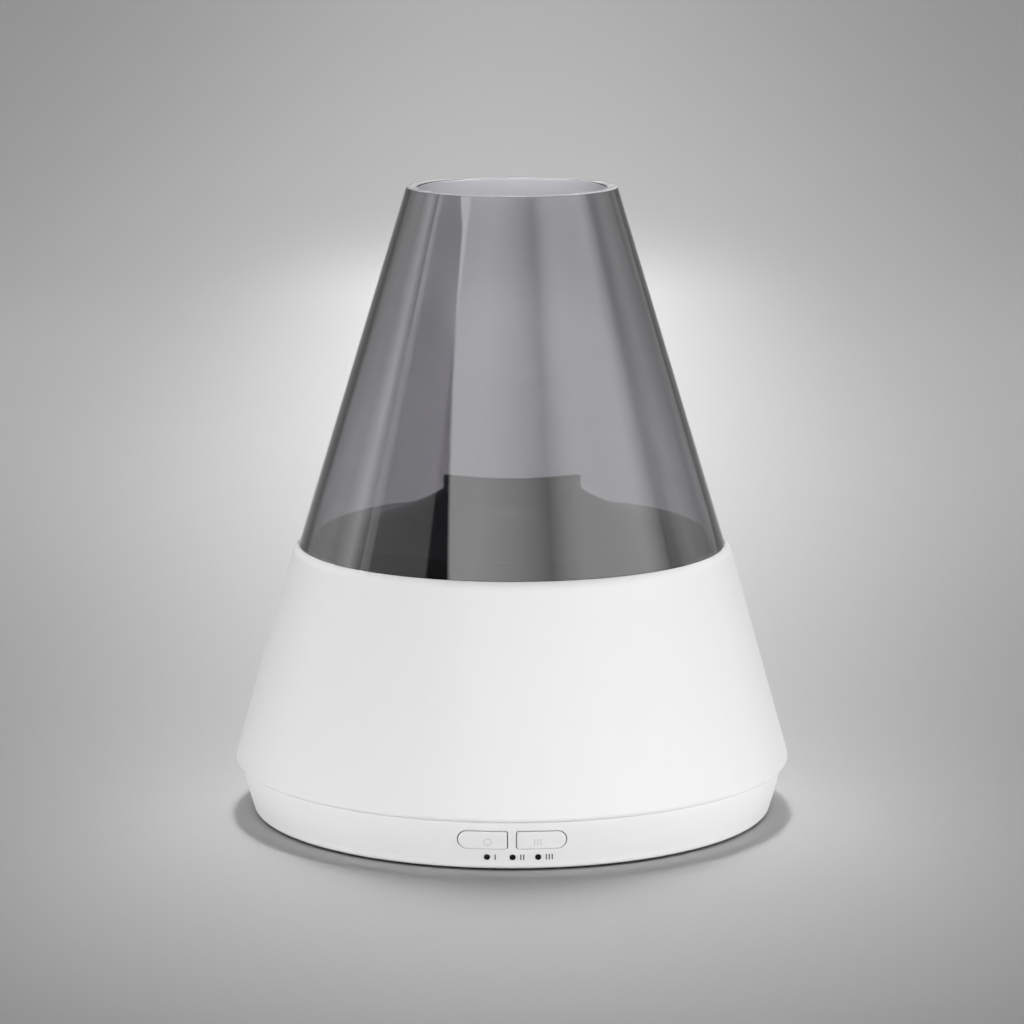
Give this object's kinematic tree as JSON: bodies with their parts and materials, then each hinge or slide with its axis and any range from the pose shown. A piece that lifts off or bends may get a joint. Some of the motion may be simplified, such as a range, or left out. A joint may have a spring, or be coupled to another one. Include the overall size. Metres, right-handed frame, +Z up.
{
  "type": "essential oil diffuser",
  "caption": "Cone-shaped ultrasonic aroma diffuser: smoked transparent cone in a white lift-off cover, dark mist lid, water tank, and a low base ring with push buttons.",
  "frame": {"origin": "centre of the base on the surface it stands on", "axes": "+Z up through the cone's mouth, -Y towards the front with the buttons, +X to the right seen from the front"},
  "size_m": [0.15, 0.15, 0.1691],
  "materials": {
    "white_plastic": "satin gloss",
    "white_cap": "satin gloss",
    "smoked_plastic": "polished transparent",
    "dark_smoked_plastic": "polished",
    "tank_plastic": "satin",
    "grey_rubber": "matte",
    "white_silicone": "matte",
    "silvered_ceramic": "silvered",
    "aluminium": "plain",
    "black_plastic": "matte",
    "lens_plastic": "polished",
    "circuit_board": "solder mask",
    "lamp_board": "solder mask",
    "led_epoxy": "polished",
    "copper_winding": "enamelled wire",
    "capacitor_sleeve": "shrink sleeve",
    "red_wire": "matte",
    "black_wire": "matte",
    "white_wire": "matte",
    "zinc_steel": "zinc plated"
  },
  "bodies": {
    "base": {"base_shell": "white_plastic", "board_screw_1": "zinc_steel", "board_screw_2": "zinc_steel", "board_screw_3": "zinc_steel", "board_screw_4": "zinc_steel", "button_board": "circuit_board", "capacitor_1": "capacitor_sleeve", "capacitor_2": "capacitor_sleeve", "case_screw_1": "zinc_steel", "case_screw_2": "zinc_steel", "case_screw_3": "zinc_steel", "case_screw_4": "zinc_steel", "dc_jack": "black_plastic", "dc_jack_pin": "zinc_steel", "fan_frame": "black_plastic", "fan_screw_1": "zinc_steel", "fan_screw_2": "zinc_steel", "fan_wire": "black_wire", "foot_1": "grey_rubber", "foot_2": "grey_rubber", "foot_3": "grey_rubber", "foot_4": "grey_rubber", "heat_sink": "aluminium", "indicator_led_1": "led_epoxy", "indicator_led_2": "led_epoxy", "indicator_led_3": "led_epoxy", "indicator_lens_1": "lens_plastic", "indicator_lens_2": "lens_plastic", "indicator_lens_3": "lens_plastic", "inductor": "copper_winding", "light_board": "lamp_board", "light_board_screw_1": "zinc_steel", "light_board_screw_2": "zinc_steel", "light_led_1": "led_epoxy", "light_led_2": "led_epoxy", "light_led_3": "led_epoxy", "light_wire": "white_wire", "main_board": "circuit_board", "microcontroller": "black_plastic", "panel_wire": "white_wire", "piezo_clamp": "aluminium", "piezo_disc": "silvered_ceramic", "piezo_screw_1": "zinc_steel", "piezo_screw_2": "zinc_steel", "piezo_screw_3": "zinc_steel", "piezo_seal": "white_silicone", "piezo_wire": "red_wire", "power_transistor": "black_plastic", "power_wire": "red_wire", "tact_switch_1": "black_plastic", "tact_switch_2": "black_plastic", "tank_housing": "tank_plastic"},
    "lid": {"mist_lid": "dark_smoked_plastic"},
    "cover": {"cover_shell": "white_plastic", "smoke_cone": "smoked_plastic"},
    "button_light": {"button_light": "white_cap"},
    "button_mist": {"button_mist": "white_cap"},
    "fan_rotor": {"fan_rotor": "black_plastic"}
  },
  "joints": [
    {"name": "lid_lift", "type": "slide", "parent": "base", "child": "lid", "axis": [0, 0, 1], "range_m": [0, 0.06]},
    {"name": "cover_lift", "type": "slide", "parent": "lid", "child": "cover", "axis": [0, 0, 1], "range_m": [0, 0.1]},
    {"name": "light_press", "type": "slide", "parent": "base", "child": "button_light", "axis": [0, 1, 0], "range_m": [0, 0.0008], "stiffness_N_per_m": 800, "springref_m": -0.0003},
    {"name": "mist_press", "type": "slide", "parent": "base", "child": "button_mist", "axis": [0, 1, 0], "range_m": [0, 0.0008], "stiffness_N_per_m": 800, "springref_m": -0.0003},
    {"name": "fan_spin", "type": "hinge", "parent": "base", "child": "fan_rotor", "pos_m": [0, 0.033, 0.0075], "axis": [0, 0, 1], "continuous": true}
  ]
}
